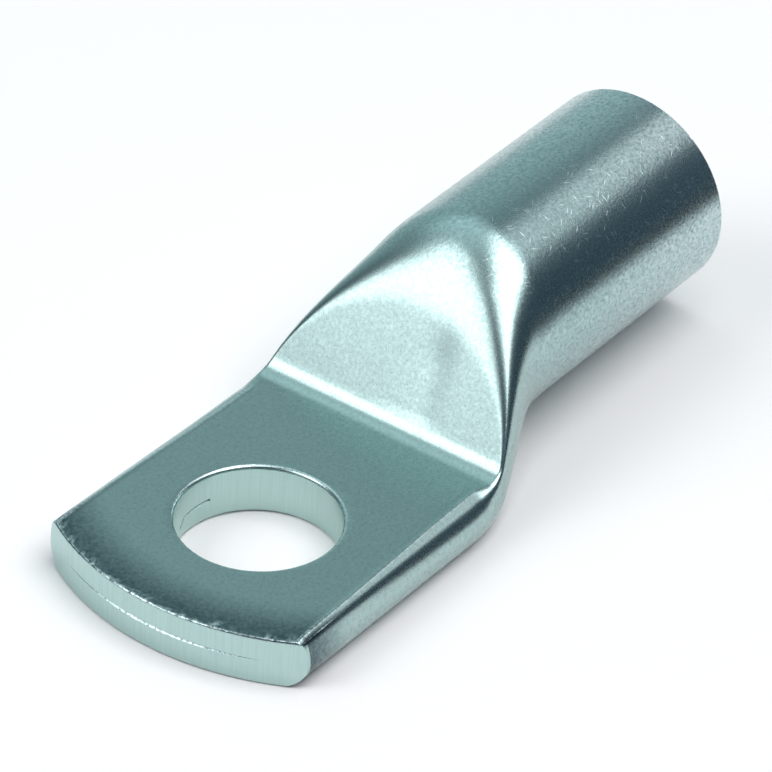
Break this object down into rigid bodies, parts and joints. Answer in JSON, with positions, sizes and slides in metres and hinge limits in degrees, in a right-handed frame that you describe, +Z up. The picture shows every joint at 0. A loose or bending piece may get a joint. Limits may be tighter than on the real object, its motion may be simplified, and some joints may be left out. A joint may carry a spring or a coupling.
{
  "type": "tubular cable lug",
  "caption": "Tube whose round barrel takes a stranded cable, pressed through a straight ramp to a flat two-layer palm with a stud hole.",
  "frame": {"origin": "on the stud hole's axis, at the underside of the palm", "axes": "+X along the tube towards the cable end, +Y across the palm, +Z up out of the palm's ramp side"},
  "size_m": [0.0509, 0.02, 0.0144],
  "materials": {
    "tinned_copper": "satin tin plating over copper, tumbled"
  },
  "bodies": {
    "root": {"lug": "tinned_copper"}
  },
  "joints": []
}
